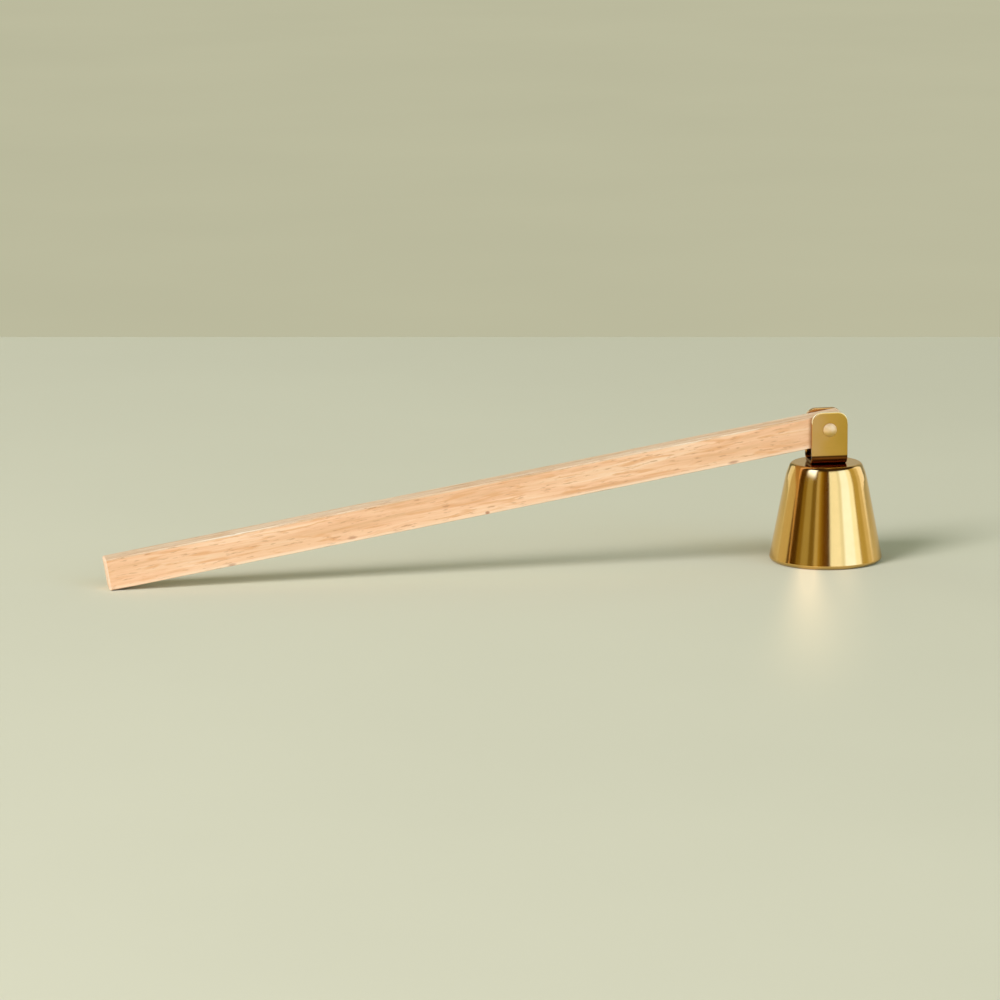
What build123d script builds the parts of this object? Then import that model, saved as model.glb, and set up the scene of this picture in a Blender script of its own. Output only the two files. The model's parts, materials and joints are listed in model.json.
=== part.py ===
from build123d import *
import math
import os

os.makedirs("parts", exist_ok=True)

# Candle snuffer: a brass bell that swings in a strap bracket on the end of a wooden stick.
# It rests on a table, on the bell's rim and on the lower edge of the stick's far end.
# +Z is up, the stick runs towards -X from the bell, and Y runs along the pivot.
# The origin is on the table, under the middle of the snuffer's outer box.

# Bell: a cone of sheet brass that curves in towards a flat top, its rim turned in and doubled
bell_height = 33.5
bell_foot_radius = 19.3          # where the sloping wall would meet the table
bell_crown_radius = 13.5         # where the wall would start to lean in more
bell_top_radius = 11.9           # where the crown would meet the flat top
bell_crown_height = 3.6
bell_crown_curve_share = 0.77    # how much of the crown's slope the wide curve below it takes
bell_wall = 0.9
bell_shoulder_radius = 1.5
bell_rim_bevel_height = 1.1
bell_rim_bevel_width = 0.5
bell_rim_rounding = 1.0          # between the wall and the bevel
bell_hem_thickness = 2.1
bell_hem_height = 2.0
bell_hem_taper = 0.6             # height over which the hem fades into the wall
bell_hem_chamfer = 0.4

# Bracket: a strap bent into a U, base on the bell, two ears upright
ear_width = 12.4
ear_thickness = 1.2
ear_top_above_bell = 17.9
ear_corner_radius = 3.4
ear_edge_chamfer = 0.25
bend_inner_radius = 1.4

# Handle: a rectangular stick
handle_height = 10.5
handle_thickness = 7.7
handle_reach = 247.3             # from the pivot to the far end
handle_past_pivot = 5.2
handle_edge_rounding = 0.5
handle_end_chamfer = 0.3
handle_side_clearance = 0.1      # between the wood and each ear

# Pivot rivet
pivot_above_bell = 11.8
rivet_radius = 1.5
rivet_head_radius = 2.3
rivet_head_rise = 0.75
rivet_head_lip = 0.2
rivet_tail_radius = 2.1
rivet_tail_rise = 0.5
rivet_tail_lip = 0.35
rivet_tail_bevel = 0.7
rivet_ear_clearance = 0.02
pivot_running_clearance = 0.06

# Screw, washer and nut that hold the bracket on the bell
screw_radius = 1.25
screw_head_radius = 2.5
screw_head_height = 1.6
screw_head_bevel_width = 0.7
screw_head_bevel_height = 0.9
screw_tip_chamfer = 0.3
screw_past_nut = 0.4
screw_hole_clearance = 0.12
recess_width = 0.55
recess_span = 2.6
recess_depth = 0.9
washer_radius = 3.3
washer_thickness = 0.5
nut_across_flats = 5.0
nut_height = 2.0
nut_thread_clearance = 0.02

# How close the stick comes to the bell at the ends of its swing
swing_clearance = 0.3

# One overrun for every cut that goes right through
cut_overrun = 1.0

# Sizes that follow from those above
bell_crown_base = bell_height - bell_crown_height
bell_slope = (bell_foot_radius - bell_crown_radius) / bell_crown_base
bell_slope_length = math.hypot(bell_slope, 1)
crown_slope = (bell_crown_radius - bell_top_radius) / bell_crown_height
crown_slope_length = math.hypot(crown_slope, 1)
crown_lean = math.atan(crown_slope)
shoulder_setback = bell_shoulder_radius * math.tan((math.pi / 2 - crown_lean) / 2)
crown_curve_setback = bell_crown_curve_share * (bell_crown_height * crown_slope_length - shoulder_setback)
bell_crown_curve = crown_curve_setback / math.tan(abs(crown_lean - math.atan(bell_slope)) / 2)
bell_ceiling = bell_height - bell_wall
bracket_floor = bell_height + ear_thickness
gap_half = handle_thickness / 2 + handle_side_clearance
ear_outer_half = gap_half + ear_thickness
bend_outer_radius = bend_inner_radius + ear_thickness
ear_top = bell_height + ear_top_above_bell
pivot_height = bell_height + pivot_above_bell
screw_hole_radius = screw_radius + screw_hole_clearance
screw_head_top = bell_ceiling - washer_thickness
screw_tip = bracket_floor + nut_height + screw_past_nut


def bell_outer(height):
    """Radius of the bell's outer wall at a height above the table, below the crown."""
    return bell_foot_radius - bell_slope * height


def bell_inner(height, thickness):
    """Radius of a surface that lies a thickness inside the outer wall."""
    return bell_outer(height) - thickness * bell_slope_length


def rest_tilt():
    """Angle, in degrees, at which the stick's far lower edge just meets the table."""
    along = handle_reach - handle_end_chamfer
    below = handle_height / 2
    return math.degrees(math.asin(pivot_height / math.hypot(along, below)) - math.atan2(below, along))


def lowest_tilt():
    """Angle below level, in degrees, at which the stick would near the bell's shoulder."""
    flare = bell_shoulder_radius * (crown_slope_length - crown_slope)
    across = bell_top_radius - flare
    down = pivot_above_bell + bell_shoulder_radius
    stick_and_shoulder = handle_height / 2 + bell_shoulder_radius + swing_clearance
    return math.degrees(math.atan2(down, across) - math.asin(stick_and_shoulder / math.hypot(across, down)))


def far_end():
    """Distance from the pivot, along X, of the resting stick's furthest point."""
    tilt = math.radians(rest_tilt())
    return handle_reach * math.cos(tilt) + (handle_height / 2 - handle_end_chamfer) * math.sin(tilt)


def bell_widest():
    """Radius of the bell at the rounding above the rim's bevel, its widest place."""
    bevel_top = bell_outer(bell_rim_bevel_height)
    wall_lean = math.atan(bell_slope)
    bevel_lean = math.atan2(bell_rim_bevel_width, bell_rim_bevel_height)
    tuck = math.cos((wall_lean - bevel_lean) / 2) / math.cos((wall_lean + bevel_lean) / 2) - 1
    return bevel_top - bell_rim_rounding * tuck


bell_x = (far_end() - bell_widest()) / 2


def turned(outline, radii):
    """Solid of revolution about Z from a closed outline of (radius, height) points."""
    section = make_face(FilletPolyline(*outline, radius=radii, close=True))
    return revolve(Plane.XZ * section, axis=Axis.Z)


def cap_arc(radius, base, rise):
    """Arc of a shallow cap, from its edge to the point on the axis."""
    sphere = (radius**2 + rise**2) / (2 * rise)
    half_angle = math.asin(radius / sphere) / 2
    middle = (sphere * math.sin(half_angle), base + rise - sphere + sphere * math.cos(half_angle))
    return ThreePointArc((radius, base), middle, (0, base + rise))


def inner_crown():
    """Place, inside, where the inner faces of the wall and of the crown meet."""
    crown_at_base = bell_crown_radius - bell_wall * crown_slope_length
    wall_at_base = bell_inner(bell_crown_base, bell_wall)
    below = (crown_at_base - wall_at_base) / (bell_slope - crown_slope)
    return (wall_at_base - bell_slope * below, bell_crown_base + below)


def make_bell():
    """Cone with a curved crown, a flat top, a doubled rim and a screw hole."""
    hem_top = bell_hem_height + bell_hem_taper
    bevel_top = bell_outer(bell_rim_bevel_height)
    inner_top_radius = bell_top_radius + (crown_slope - crown_slope_length) * bell_wall
    outline = [
        (screw_hole_radius, bell_height),
        (bell_top_radius, bell_height),
        (bell_crown_radius, bell_crown_base),
        (bevel_top, bell_rim_bevel_height),
        (bevel_top - bell_rim_bevel_width, 0),
        (bell_inner(0, bell_hem_thickness) + bell_hem_chamfer, 0),
        (bell_inner(0, bell_hem_thickness), bell_hem_chamfer),
        (bell_inner(bell_hem_height, bell_hem_thickness), bell_hem_height),
        (bell_inner(hem_top, bell_wall), hem_top),
        inner_crown(),
        (inner_top_radius, bell_ceiling),
        (screw_hole_radius, bell_ceiling),
    ]
    radii = [0, bell_shoulder_radius, bell_crown_curve, bell_rim_rounding]
    return turned(outline, radii + [0] * (len(outline) - len(radii)))


def make_bracket():
    """Strap bent into a U, its ears' top corners rounded, drilled for the pivot and the screw."""
    outline = [
        (-ear_outer_half, ear_top),
        (-gap_half, ear_top),
        (-gap_half, bracket_floor),
        (gap_half, bracket_floor),
        (gap_half, ear_top),
        (ear_outer_half, ear_top),
        (ear_outer_half, bell_height),
        (-ear_outer_half, bell_height),
    ]
    radii = [0, 0, bend_inner_radius, bend_inner_radius, 0, 0, bend_outer_radius, bend_outer_radius]
    section = make_face(FilletPolyline(*outline, radius=radii, close=True))
    strap = extrude(Plane.YZ * section, amount=ear_width / 2, both=True)
    corners = strap.edges().filter_by(Axis.Y).sort_by(Axis.Z)[-4:]
    strap = fillet(corners, ear_corner_radius)
    low_seams = [edge for edge in strap.edges().filter_by(Axis.X) if edge.center().Z < pivot_height]
    across = strap.edges().filter_by(Axis.Y)
    rims = [edge for edge in strap.edges() if edge not in low_seams and edge not in across]
    strap = chamfer(rims, ear_edge_chamfer)
    pivot_hole = Cylinder(rivet_radius + rivet_ear_clearance, 2 * (ear_outer_half + cut_overrun))
    strap -= Pos(0, 0, pivot_height) * Rot(90, 0, 0) * pivot_hole
    strap -= Pos(0, 0, bell_height) * Cylinder(screw_hole_radius, 2 * (ear_thickness + cut_overrun))
    return strap


def make_handle():
    """Stick with eased long edges and a cross hole, tilted down to the table."""
    length = handle_reach + handle_past_pivot
    stick = Box(length, handle_thickness, handle_height)
    stick = fillet(stick.edges().filter_by(Axis.X), handle_edge_rounding)
    end_rims = stick.faces().filter_by(Axis.X).edges()
    stick = chamfer(end_rims, handle_end_chamfer)
    stick = Pos(length / 2 - handle_reach, 0, 0) * stick
    bore = Cylinder(rivet_radius + pivot_running_clearance, handle_thickness + 2 * cut_overrun)
    stick -= Rot(90, 0, 0) * bore
    return Pos(0, 0, pivot_height) * Rot(0, -rest_tilt(), 0) * stick


def make_pivot_rivet():
    """Solid rivet with a domed head on the front ear and a hammered tail on the rear one."""
    head_edge = ear_outer_half + rivet_head_lip
    tail_edge = ear_outer_half + rivet_tail_lip
    head = cap_arc(rivet_head_radius, head_edge, rivet_head_rise)
    tail_end = tail_edge + rivet_tail_rise
    sides = Polyline(
        (rivet_head_radius, head_edge),
        (rivet_head_radius, ear_outer_half),
        (rivet_radius, ear_outer_half),
        (rivet_radius, -ear_outer_half),
        (rivet_tail_radius, -ear_outer_half),
        (rivet_tail_radius, -tail_edge),
        (rivet_tail_radius - rivet_tail_bevel, -tail_end),
        (0, -tail_end),
    )
    axis_line = Line((0, head_edge + rivet_head_rise), (0, -tail_end))
    section = make_face([head, sides, axis_line])
    rivet = revolve(Plane.XZ * section, axis=Axis.Z)
    return Pos(0, 0, pivot_height) * Rot(90, 0, 0) * rivet


def make_bell_screw():
    """Pan-head screw, head down inside the bell, with a cross recess."""
    head_bottom = screw_head_top - screw_head_height
    outline = [
        (0, head_bottom),
        (screw_head_radius - screw_head_bevel_width, head_bottom),
        (screw_head_radius, head_bottom + screw_head_bevel_height),
        (screw_head_radius, screw_head_top),
        (screw_radius, screw_head_top),
        (screw_radius, screw_tip - screw_tip_chamfer),
        (screw_radius - screw_tip_chamfer, screw_tip),
        (0, screw_tip),
    ]
    screw = turned(outline, [0] * len(outline))
    slot = Pos(0, 0, head_bottom) * Box(recess_span, recess_width, 2 * recess_depth)
    screw -= slot
    screw -= Rot(0, 0, 90) * slot
    return screw


def make_bell_washer():
    """Plain washer between the screw's head and the bell's ceiling."""
    outline = [
        (screw_hole_radius, screw_head_top),
        (washer_radius, screw_head_top),
        (washer_radius, bell_ceiling),
        (screw_hole_radius, bell_ceiling),
    ]
    return turned(outline, [0] * len(outline))


def make_bracket_nut():
    """Hexagon nut on the bracket's base, two of its flats facing the ears."""
    hexagon = RegularPolygon(nut_across_flats / 2, 6, major_radius=False)
    hexagon -= Circle(screw_radius + nut_thread_clearance)
    return Pos(0, 0, bracket_floor) * extrude(hexagon, nut_height)


nodes = {
    "handle": make_handle,
    "bell": make_bell,
    "bracket": make_bracket,
    "pivot_rivet": make_pivot_rivet,
    "bell_screw": make_bell_screw,
    "bell_washer": make_bell_washer,
    "bracket_nut": make_bracket_nut,
}

for name, make in nodes.items():
    export_step(Pos(bell_x, 0, 0) * make(), f"parts/{name}.step")

print(f"pivot at x {bell_x:.4f}, z {pivot_height:.4f}")
print(f"rest tilt {rest_tilt():.3f} degrees below level")
print(f"swing from {rest_tilt() - lowest_tilt():.3f} to {180 + rest_tilt() + lowest_tilt():.3f} degrees")
print(f"bell's widest radius {bell_widest():.4f}")
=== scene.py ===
import json
import math

import bmesh
import bpy
from mathutils import Matrix, Vector, noise


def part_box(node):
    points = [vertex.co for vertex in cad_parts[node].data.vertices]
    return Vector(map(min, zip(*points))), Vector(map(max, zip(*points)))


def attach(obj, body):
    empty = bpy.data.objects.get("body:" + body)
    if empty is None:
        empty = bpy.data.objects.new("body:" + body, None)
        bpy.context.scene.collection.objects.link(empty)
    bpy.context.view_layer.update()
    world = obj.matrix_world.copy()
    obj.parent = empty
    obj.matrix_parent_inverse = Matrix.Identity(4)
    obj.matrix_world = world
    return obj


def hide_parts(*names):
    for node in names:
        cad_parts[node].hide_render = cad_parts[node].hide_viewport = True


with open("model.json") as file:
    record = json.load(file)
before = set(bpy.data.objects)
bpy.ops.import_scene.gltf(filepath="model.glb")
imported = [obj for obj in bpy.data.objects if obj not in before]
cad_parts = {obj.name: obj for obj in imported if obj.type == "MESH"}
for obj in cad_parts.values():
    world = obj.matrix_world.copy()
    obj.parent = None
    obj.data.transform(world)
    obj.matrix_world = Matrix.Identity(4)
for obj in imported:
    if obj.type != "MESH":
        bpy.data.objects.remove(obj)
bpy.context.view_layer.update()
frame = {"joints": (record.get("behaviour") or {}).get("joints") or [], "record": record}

# Candle snuffer: a polished brass bell hung in a riveted strap on the end of a wooden stick.
# Every length is in metres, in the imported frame; small ones are written as millimetres times MM.
MM = 0.001

# Places from the frame
pivot = Vector(frame["joints"][0]["pos_m"])
bell_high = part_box("bell")[1]
washer_low, washer_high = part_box("bell_washer")
screw_low, screw_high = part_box("bell_screw")
nut_low, nut_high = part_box("bracket_nut")
strap_low, strap_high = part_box("bracket")
rivet_low, rivet_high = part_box("pivot_rivet")
record = frame["record"]
body_of = {node: body for body, nodes in record["behaviour"]["bodies"].items() for node in nodes}
bell_axis = Vector((pivot.x, 0, 0))

# Bell
BELL_FOOT_RADIUS = 19.3 * MM
BELL_CROWN_RADIUS = 13.5 * MM
BELL_TOP_RADIUS = 11.9 * MM
BELL_CROWN_HEIGHT = 3.6 * MM
BELL_CROWN_CURVE = 20 * MM
BELL_WALL = 0.9 * MM
BELL_SHOULDER = 1.5 * MM
BELL_RIM = 1.25 * MM
HEM_THICKNESS = 2.1 * MM
HEM_HEIGHT = 2.3 * MM
HEM_SEAM_DEPTH = 0.5 * MM
HEM_SEAM_WIDTH = 0.15 * MM
HEM_LIP = 0.5 * MM
HEM_SEAM_LIP = 0.2 * MM
HEM_INSIDE = 0.6 * MM             # rounding of the rim's inner edge
BELL_HOLE_EDGE = 0.15 * MM
SCREW_HOLE = 1.37 * MM
BELL_SPACING = 2.5 * MM           # longest run between two rings of its mesh
BELL_SEGMENTS = 288

# Strap bracket
STRAP_THICKNESS = 1.2 * MM
STRAP_CORNER = 3.4 * MM
STRAP_BEND = 2.6 * MM             # outside radius
STRAP_EDGE = 0.28 * MM
STRAP_ROLL_OVER = 0.5 * MM        # how far the sheared edge's rounding reaches onto the face
STRAP_OUTSIDE = 0.6 * MM          # depth in the sheet down to which its edge is the outer one
STRAP_INSIDE = 0.8 * MM           # depth from which it is the inner one
RIVET_HOLE = 1.52 * MM

# Wooden stick
STICK_HEIGHT = 10.5 * MM
STICK_THICKNESS = 7.7 * MM
STICK_REACH = 247.3 * MM
STICK_PAST_PIVOT = 5.2 * MM
STICK_EDGE = 0.3 * MM
STICK_END_EDGE = 0.7 * MM
STICK_BORE = 1.56 * MM
STICK_SLICE = 0.8 * MM            # distance between two rings of its mesh
STICK_EDGE_WEAR = 0.09 * MM
WEAR_WAVES = 90                   # for each metre, long and short
WEAR_SHORT_WAVES = 420
WEAR_SHORT_SHARE = 0.6
TOP_SHEEN_TINT = (0.85, 1.03, 1.20)  # painted sheen: the upper side greyer, for light it mirrors at a grazing angle
LOWER_EDGE_HIGHLIGHT = (0.99, 0.73, 0.50)   # painted highlight: its lower edges pale in places, for light they catch from the table
LOWER_HIGHLIGHT_CORE = 0.4 * MM             # how far up from the bottom they are palest
LOWER_HIGHLIGHT_TOP = 1.3 * MM              # and where that ends

# Small dark marks on the stick's front: from the pivot, above its middle, half length, half
# height, and strength
WOOD_MARKS = [
    (-206 * MM, -4.8 * MM, 1.5 * MM, 0.55 * MM, 0.6),
    (-165 * MM, -3.9 * MM, 1.7 * MM, 0.55 * MM, 0.6),
    (-119 * MM, -4.7 * MM, 0.8 * MM, 0.60 * MM, 0.9),
    (-34 * MM, -4.5 * MM, 1.9 * MM, 0.50 * MM, 0.7),
]

# Rivet
RIVET_RADIUS = 1.5 * MM
RIVET_HEAD = 2.3 * MM
RIVET_HEAD_LIP = 0.2 * MM
RIVET_TAIL = 2.1 * MM
RIVET_TAIL_LIP = 0.35 * MM
RIVET_TAIL_ROUND = 0.4 * MM
RIVET_DENT = 0.03 * MM            # depth of the hammer's dents
DENT_WAVES = 700                  # for each metre
DENTED_TAIL = 0.1 * MM            # how far up the tail the dents reach
TAIL_UNEVEN = 0.03                # share of its radius by which the tail is out of round
TAIL_WAVES = 1.7                  # for each radian round the tail
TAIL_WAVES_UP = 900               # the same along it, for each metre
RIVET_SEGMENTS = 72

# Screw, washer and nut
SCREW_RADIUS = 1.25 * MM
SCREW_HEAD = 2.5 * MM
SCREW_HEAD_HEIGHT = 1.6 * MM
SCREW_HEAD_EDGE = 0.15 * MM       # rounding of its bearing side
PAN_SLOPE_HEIGHT = 0.55 * MM
PAN_SLOPE_WIDTH = 1.1 * MM
PAN_SIDE_ROUND = 0.5 * MM
PAN_TOP_ROUND = 1.2 * MM
SCREW_TIP_HEIGHT = 0.25 * MM
SCREW_TIP_TAPER = 0.3 * MM
SCREW_SEGMENTS = 64
THREAD_PITCH = 0.45 * MM
THREAD_DEPTH = 0.2 * MM
THREAD_START = 0.4 * MM           # plain shank next to the head
THREAD_SPACING = 0.05 * MM        # distance between two rings of its mesh
RECESS_WIDTH = 0.55 * MM
RECESS_SPAN = 2.6 * MM
RECESS_DEPTH = 0.9 * MM
WASHER_HOLE_ROUND = 0.12 * MM
WASHER_DIE_ROUND = 0.16 * MM      # the side that left the die first
WASHER_BURR = 0.04 * MM           # the other side's sharper edges
NUT_FLATS = 5.0 * MM
NUT_FACE_RADIUS = 2.4 * MM        # of the flat ring inside its chamfer
NUT_CHAMFER = 0.35 * MM
NUT_BORE = 1.27 * MM
NUT_BORE_CHAMFER = 0.12 * MM
NUT_SMOOTH_DEGREES = 25
NUT_SEGMENTS = 96                 # also the washer's

# The camera, seen from the bell
CAMERA_AZIMUTH = math.radians(13.598)
CAMERA_ELEVATION = math.radians(11.855)
CAMERA_DISTANCE = 1.6975
CAMERA_HEADING = math.radians(9.7975)    # from +Y towards +X
CAMERA_TILT = math.radians(-11.1844)
CAMERA_ROLL = math.radians(-0.31)
CAMERA_LENS = 180.0
CAMERA_SENSOR = 36.0

# The table and what is behind it
TABLE_EDGE_BEHIND_BELL = 0.464
TABLE_EDGE_TURN = math.radians(-11.71)
TABLE_SIZE = 4.0                  # half its width
TABLE_COLOUR = (0.634, 0.618, 0.473)
BACKGROUND = (0.51, 0.50, 0.345)
TABLE_MOTTLE = 0.03               # how much darker its clouds are
TABLE_CLOUDS = 5                  # for each metre

# Painted shade where two metal faces meet, low inside the strap and on its underside
PAINTED_SHADE_TONE = (0.40, 0.15, 0.03)
CORNER_SHADE_REACH = 2.5 * MM
SHADE_FREE_HEIGHT = 4 * MM               # the painted shade fades out below this height, towards the table
STRAP_SHADE_HEIGHT = 5.5 * MM          # how far up from the bell the strap's inner side is given painted shade
STRAP_SHADE_FADE = 2 * MM
BEND_SHADE_HEIGHT = 3.4 * MM           # the same for its front
BEND_SHADE_FADE = 1 * MM
BEND_SHADE_LINE = 2.4 * MM              # height of the painted dark line of shade at the bend
BEND_SHADE_LINE_CORE = 0.5 * MM         # half the line's height where it is darkest, and where it ends
BEND_SHADE_LINE_REACH = 0.75 * MM
BEND_SHADE_LINE_TONE = (0.05, 0.016, 0.004)
DULL_EDGE_AND_HIGHLIGHT = (0.95, 0.78, 0.46)  # the strap's outer edges, dulled by handling and made pale as a painted highlight
DULL_EDGE_START = 1 * MM        # they fade in over this much below the rounded corners
STRAP_INSIDE_TONE = (0.78, 0.40, 0.10)
# Painted shade on the wood where the brass or the table is close
WOOD_CONTACT_SHADE = (0.36, 0.16, 0.05)
WOOD_CONTACT_SHADE_REACH = 1.2 * MM       # how far from the brass and the table the wood gets painted shade

# Tones of the metals
BELL_TONES = [(0.85, 0.52, 0.16), (0.81, 0.49, 0.145)]
# Painted shade: a darker tone on the bell's downward faces, for the shaded table that its rim mirrors
BELL_UNDERSIDE_SHADE = (0.34, 0.29, 0.14)
STRAP_TONES = [(0.85, 0.51, 0.19), (0.78, 0.455, 0.095), (0.68, 0.40, 0.063)]
STRAP_TONE_WIDTH = 12 * MM        # they run from side to side over this much, darker towards +X as a painted reflection
RIVET_TONES = [(1.0, 0.70, 0.36), (0.96, 0.645, 0.30)]
# Painted shade on the downward-facing lower part of the rivet's head
RIVET_UNDERSIDE_SHADE = (0.70, 0.44, 0.10)
STEEL_TONES = [(0.56, 0.55, 0.52), (0.50, 0.49, 0.46)]

# Waves for each metre of every metal: in its tone, on its face, and its level polishing lines
TONE_WAVES = 160
FACE_WAVES = 130
LINE_WAVES = 900
LINE_STRETCH = (1, 1, 14)

# Tones of the wood; the grain's and the end's run through theirs
GRAIN_TONES = [
    (0.30, (0.72, 0.37, 0.172)),
    (0.44, (0.875, 0.495, 0.272)),
    (0.56, (0.925, 0.57, 0.332)),
    (0.72, (0.965, 0.68, 0.45)),
]
BAND_TONE = (0.78, 0.456, 0.232)
STREAK_TONE = (0.77, 0.38, 0.164)
PORE_TONE = (0.54, 0.24, 0.10)
MARK_TONE = (0.46, 0.20, 0.10)
END_TONES = [(0.35, (0.86, 0.58, 0.38)), (0.65, (0.92, 0.65, 0.45))]
END_PORE_TONE = (0.42, 0.26, 0.14)

# Waves for each metre along, across and up the stick
DRIFT_WAVES = (14, 30, 60)
GRAIN_WAVES = (22, 420, 420)
BAND_WAVES = (9, 150, 150)
STREAK_WAVES = (70, 800, 800)
PORE_WAVES = (230, 1600, 1600)
END_BAND_WAVES = (0, 260, 900)
END_PORE_WAVES = 3300
GRAIN_DRIFT = 4 * MM              # how far the grain wanders up and down

# Painted light: streaks that the bell's wall throws on the table. Azimuths of the start on the wall and
# of the run, both from the camera, then length, half width at the start and at the end, and strength
WALL_STREAKS = [
    (-19, 0.5, 240 * MM, 3.7 * MM, 17.6 * MM, 1.45),
    (20, 1, 200 * MM, 5 * MM, 12 * MM, 0.42),
]
STREAK_GAIN = (1.50, 1.34, 1.24)
STREAK_INSET = 1 * MM             # it starts this far inside the bell's foot
STREAK_ONSET = 2 * MM             # and fades in over this much
STREAK_FALL = 2.2                 # power by which it fades out along its run

ARC_STEP = math.radians(7)        # of the meshes' rounded corners
CIRCLE_STEPS = 48
SMOOTH_DEGREES = 38
TINY = 1e-7                       # a length below this counts as none
CORNER_SAMPLES = 6                # rays with which a material finds the corners


def tilt_at_rest():
    """Angle below level at which the stick's far lower edge meets the table."""
    below = STICK_HEIGHT / 2
    return math.asin(pivot.z / math.hypot(STICK_REACH, below)) - math.atan2(below, STICK_REACH)


# Geometry helpers

def rounded_outline(corners):
    """Points of a closed outline whose corners (x, y, radius) are rounded by arcs."""
    points = []
    for index, (x, y, radius) in enumerate(corners):
        corner = Vector((x, y))
        if radius == 0:
            points.append(corner)
            continue
        back = (Vector(corners[index - 1][:2]) - corner).normalized()
        ahead = (Vector(corners[(index + 1) % len(corners)][:2]) - corner).normalized()
        half = back.angle(ahead) / 2
        setback = radius / math.tan(half)
        centre = corner + (back + ahead).normalized() * radius / math.sin(half)
        first = corner + back * setback - centre
        last = corner + ahead * setback - centre
        start = math.atan2(first.y, first.x)
        turn = (math.atan2(last.y, last.x) - start + math.pi) % (2 * math.pi) - math.pi
        steps = max(2, round(abs(turn) / ARC_STEP))
        for step in range(steps + 1):
            angle = start + turn * step / steps
            points.append(centre + radius * Vector((math.cos(angle), math.sin(angle))))
    return points


def divided(points, longest):
    """The closed outline with every run longer than a length cut into equal parts."""
    result = []
    for here, there in zip(points, points[1:] + points[:1]):
        parts = max(1, math.ceil((there - here).length / longest))
        result += [here.lerp(there, part / parts) for part in range(parts)]
    return result


def lathe(outline, segments, closed=True, radius_at=None):
    """Mesh of an outline of (radius, height) points turned about Z.

    Where radius_at is given, it changes a point's radius by its height and angle.
    """
    mesh = bmesh.new()
    rings = []
    for radius, height in outline:
        if radius < TINY:
            rings.append([mesh.verts.new((0, 0, height))] * segments)
            continue
        ring = []
        for index in range(segments):
            angle = 2 * math.pi * index / segments
            reach = radius_at(radius, height, angle) if radius_at else radius
            ring.append(mesh.verts.new((reach * math.cos(angle), reach * math.sin(angle), height)))
        rings.append(ring)
    following = rings[1:] + rings[:1] if closed else rings[1:]
    for ring, next_ring in zip(rings, following):
        for index in range(segments):
            after = (index + 1) % segments
            corners = [ring[index], ring[after], next_ring[after], next_ring[index]]
            mesh.faces.new(list(dict.fromkeys(corners)))
    bmesh.ops.recalc_face_normals(mesh, faces=mesh.faces)
    return mesh


def prism(outline, low, high):
    """Mesh of a closed (x, y) outline pushed from one height to another."""
    mesh = bmesh.new()
    bottom = [mesh.verts.new((x, y, low)) for x, y in outline]
    top = [mesh.verts.new((x, y, high)) for x, y in outline]
    mesh.faces.new(bottom)
    mesh.faces.new(top)
    for index in range(len(outline)):
        after = (index + 1) % len(outline)
        mesh.faces.new([bottom[index], bottom[after], top[after], top[index]])
    bmesh.ops.recalc_face_normals(mesh, faces=mesh.faces)
    return mesh


def circle(radius):
    """Points of a circle, as (x, y)."""
    angles = [2 * math.pi * step / CIRCLE_STEPS for step in range(CIRCLE_STEPS)]
    return [(radius * math.cos(angle), radius * math.sin(angle)) for angle in angles]


def add_to_scene(name, data):
    """Object of a mesh, a lamp or a camera."""
    thing = bpy.data.objects.new(name, data)
    bpy.context.scene.collection.objects.link(thing)
    return thing


def add_object(name, mesh):
    """Object of a mesh that is finished being built."""
    data = bpy.data.meshes.new(name)
    mesh.to_mesh(data)
    mesh.free()
    return add_to_scene(name, data)


def drill(piece, cutter_mesh, place=Matrix.Identity(4)):
    """Cuts a closed mesh out of a piece for good."""
    cutter_mesh.transform(place)
    cutter = add_object("cutter", cutter_mesh)
    cut = piece.modifiers.new("cut", "BOOLEAN")
    cut.operation = "DIFFERENCE"
    cut.solver = "EXACT"
    cut.object = cutter
    bpy.context.view_layer.update()
    graph = bpy.context.evaluated_depsgraph_get()
    result = bpy.data.meshes.new_from_object(piece.evaluated_get(graph))
    piece.modifiers.remove(cut)
    piece.data = result
    bpy.data.objects.remove(cutter)


def finish_piece(piece, node, materials, smooth_degrees=SMOOTH_DEGREES):
    """Shades the piece, gives it its materials and lets it stand for its CAD node."""
    for material in materials:
        piece.data.materials.append(material)
    piece.data.shade_smooth()
    piece.data.set_sharp_from_angle(angle=math.radians(smooth_degrees))
    weighted = piece.modifiers.new("weighted_normals", "WEIGHTED_NORMAL")
    weighted.keep_sharp = True
    weighted.weight = 100
    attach(piece, body_of[node])
    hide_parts(node)
    return piece


# Material helpers

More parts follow.
